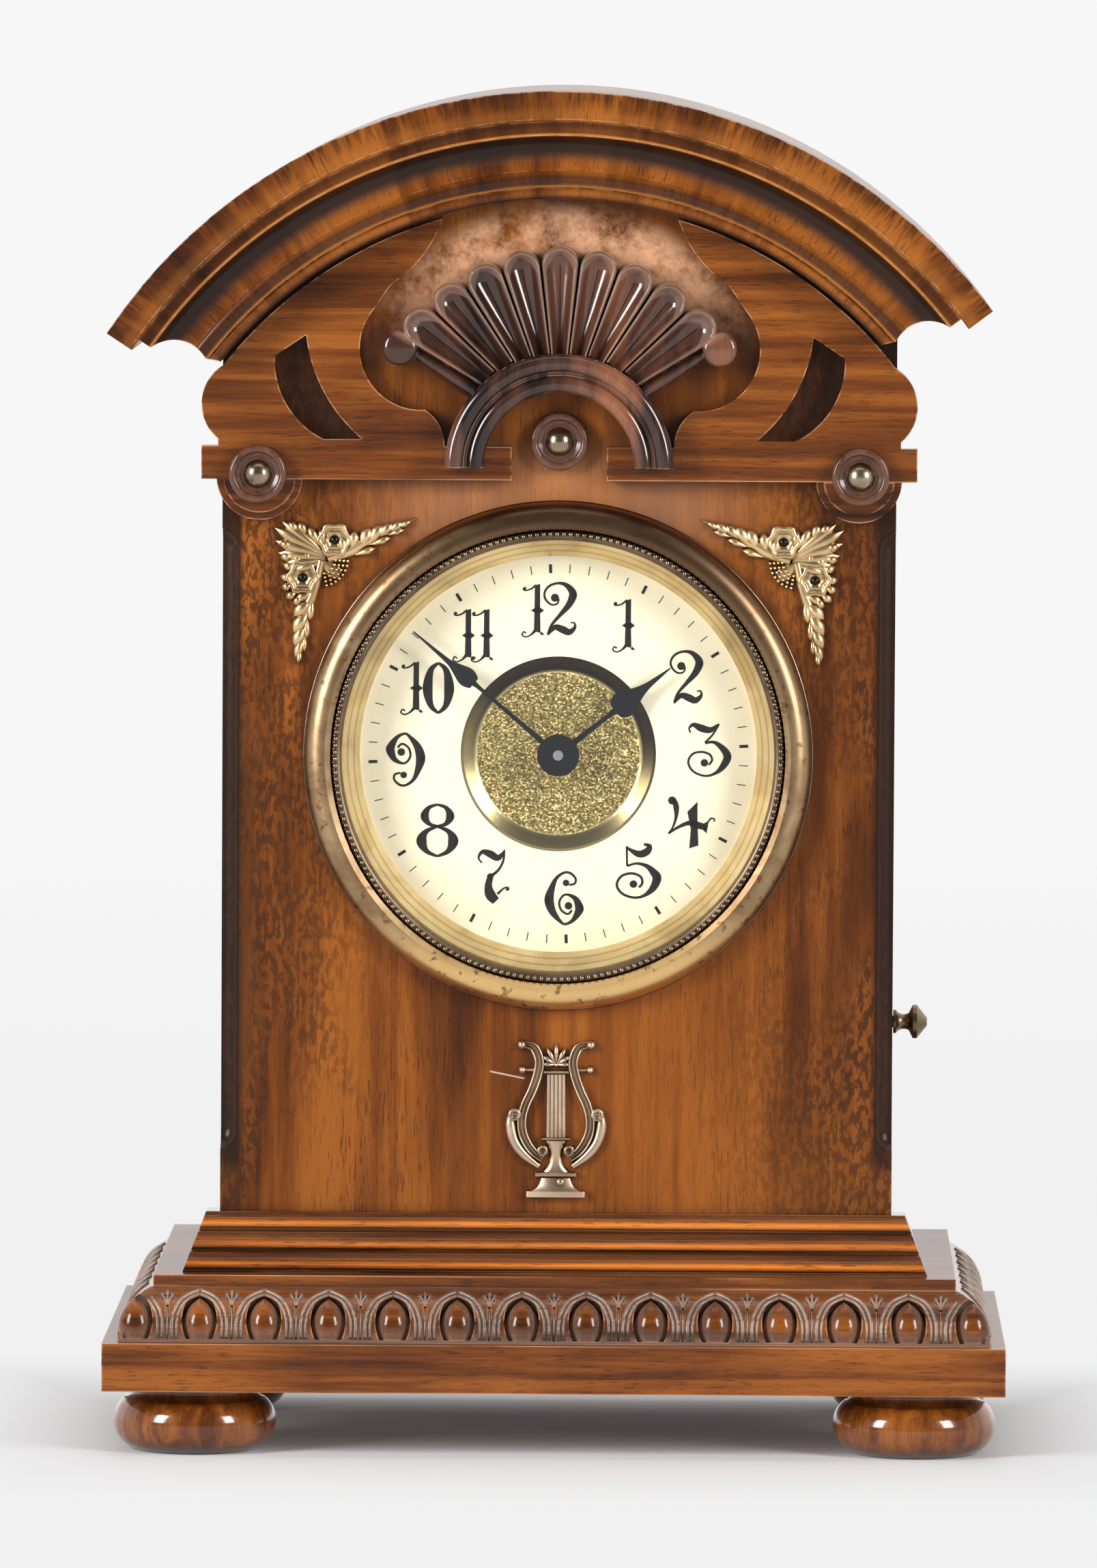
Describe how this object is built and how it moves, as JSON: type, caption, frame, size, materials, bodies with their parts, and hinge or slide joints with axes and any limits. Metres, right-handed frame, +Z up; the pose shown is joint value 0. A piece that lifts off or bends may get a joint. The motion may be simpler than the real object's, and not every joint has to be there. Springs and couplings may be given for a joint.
{
  "type": "shelf clock",
  "caption": "Walnut mantel clock with a carved arched top, round dial with spade hands, brass bezel, stepped base on bun feet, hinged back door, spring movement and music work.",
  "frame": {"origin": "on the table under the middle of the plinth", "axes": "+X right seen from the front, +Y into the depth, +Z up"},
  "size_m": [0.2646, 0.16, 0.4],
  "materials": {
    "walnut": "shellac polished walnut",
    "dark_walnut": "dark stained and polished",
    "gilt": "stamped and gilt",
    "bezel_brass": "aged polished brass",
    "bronze": "dark patina",
    "movement_brass": "lacquered brass",
    "steel": "plain steel",
    "hand_black": "black lacquer",
    "glass": "clear",
    "dial_cream": "satin enamel paint",
    "dish_gilt": "granulated gilt",
    "iron": "dark casting"
  },
  "bodies": {
    "case": {"plinth_board": "walnut", "egg_moulding_front": "walnut", "egg_moulding_left": "walnut", "egg_moulding_right": "walnut", "step_board": "walnut", "reeded_moulding": "walnut", "front_panel": "walnut", "side_panel_left": "walnut", "side_panel_right": "walnut", "upper_back_board": "walnut", "roof_board": "walnut", "arch_moulding": "walnut", "fret_left": "walnut", "fret_right": "walnut", "bun_feet": "walnut", "shell_fan": "dark_walnut", "shell_ring": "dark_walnut", "rosettes": "dark_walnut", "corbels": "dark_walnut", "corner_mount_left": "gilt", "corner_mount_right": "gilt", "lyre_mount": "gilt", "bezel_ring": "bezel_brass", "sight_ring": "bezel_brass", "rosette_domes": "bezel_brass", "bead_ring": "bronze", "front_plate": "movement_brass", "back_plate": "movement_brass", "plate_pillars": "movement_brass", "movement_posts": "movement_brass", "hinge_leaves": "movement_brass", "hairspring": "steel", "music_comb": "steel", "dial_glass": "glass", "dial_plate": "dial_cream", "dial_dish": "dish_gilt", "music_bed": "iron"},
    "centre": {"centre_arbor": "steel", "centre_wheel": "movement_brass", "cannon_pinion": "movement_brass", "minute_hand": "hand_black", "hand_nut": "hand_black", "set_knob": "movement_brass"},
    "hour": {"hour_wheel": "movement_brass", "hour_hand": "hand_black"},
    "motion": {"minute_wheel": "movement_brass"},
    "barrel": {"going_barrel": "movement_brass"},
    "third": {"third_wheel": "movement_brass"},
    "escape": {"escape_wheel": "movement_brass"},
    "lever": {"pallet_lever": "steel"},
    "balance": {"balance_wheel": "movement_brass"},
    "time_key": {"winding_key": "steel"},
    "tune_barrel": {"music_barrel": "movement_brass"},
    "tune_key": {"music_key": "steel"},
    "cylinder": {"music_cylinder": "movement_brass"},
    "governor": {"music_governor": "steel"},
    "knob": {"pull_knob": "bronze"},
    "door": {"back_door": "walnut", "door_leaves": "movement_brass"},
    "button": {"turn_button": "movement_brass"}
  },
  "joints": [
    {"name": "minute_turn", "type": "hinge", "parent": "case", "child": "centre", "pos_m": [0, 0, 0.2045], "axis": [0, 1, 0], "continuous": true},
    {"name": "hour_turn", "type": "hinge", "parent": "case", "child": "hour", "pos_m": [0, 0, 0.2045], "axis": [0, 1, 0], "continuous": true},
    {"name": "minute_wheel_turn", "type": "hinge", "parent": "case", "child": "motion", "pos_m": [0.018, 0, 0.2045], "axis": [0, 1, 0], "continuous": true},
    {"name": "barrel_turn", "type": "hinge", "parent": "case", "child": "barrel", "pos_m": [0, 0, 0.1667], "axis": [0, 1, 0], "continuous": true},
    {"name": "third_turn", "type": "hinge", "parent": "case", "child": "third", "pos_m": [0.0135, 0, 0.22788], "axis": [0, 1, 0], "continuous": true},
    {"name": "escape_turn", "type": "hinge", "parent": "case", "child": "escape", "pos_m": [-0.00417, 0, 0.23808], "axis": [0, 1, 0], "continuous": true},
    {"name": "lever_rock", "type": "hinge", "parent": "case", "child": "lever", "pos_m": [-0.02071, 0, 0.23419], "axis": [0, 1, 0], "range_deg": [-3.5, 3.5]},
    {"name": "balance_swing", "type": "hinge", "parent": "case", "child": "balance", "pos_m": [-0.03, 0, 0.232], "axis": [0, 1, 0], "range_deg": [-150, 150], "stiffness_Nm_per_rad": 0.0003},
    {"name": "winding_turn", "type": "hinge", "parent": "case", "child": "time_key", "pos_m": [0, 0, 0.1667], "axis": [0, 1, 0], "continuous": true},
    {"name": "tune_barrel_turn", "type": "hinge", "parent": "case", "child": "tune_barrel", "pos_m": [-0.027, 0, 0.083], "axis": [0, 1, 0], "continuous": true},
    {"name": "tune_winding_turn", "type": "hinge", "parent": "case", "child": "tune_key", "pos_m": [-0.027, 0, 0.083], "axis": [0, 1, 0], "continuous": true},
    {"name": "cylinder_turn", "type": "hinge", "parent": "case", "child": "cylinder", "pos_m": [0.005, 0, 0.083], "axis": [0, 1, 0], "continuous": true},
    {"name": "governor_turn", "type": "hinge", "parent": "case", "child": "governor", "pos_m": [0.0218, 0, 0.083], "axis": [0, 1, 0], "continuous": true},
    {"name": "knob_pull", "type": "slide", "parent": "case", "child": "knob", "axis": [1, 0, 0], "range_m": [0, 0.006]},
    {"name": "door_swing", "type": "hinge", "parent": "case", "child": "door", "pos_m": [-0.0906, 0.0764, 0.158], "axis": [0, 0, 1], "range_deg": [0, 110]},
    {"name": "button_turn", "type": "hinge", "parent": "door", "child": "button", "pos_m": [0.08, 0, 0.158], "axis": [0, 1, 0], "range_deg": [0, 90]}
  ],
  "couplings": [
    {"joint": "hour_turn", "follows": "minute_turn", "ratio": 0.083333},
    {"joint": "minute_wheel_turn", "follows": "minute_turn", "ratio": -0.33333},
    {"joint": "barrel_turn", "follows": "minute_turn", "ratio": -0.16667},
    {"joint": "third_turn", "follows": "minute_turn", "ratio": -8},
    {"joint": "escape_turn", "follows": "minute_turn", "ratio": 60},
    {"joint": "cylinder_turn", "follows": "tune_barrel_turn", "ratio": -3},
    {"joint": "governor_turn", "follows": "tune_barrel_turn", "ratio": 18}
  ]
}
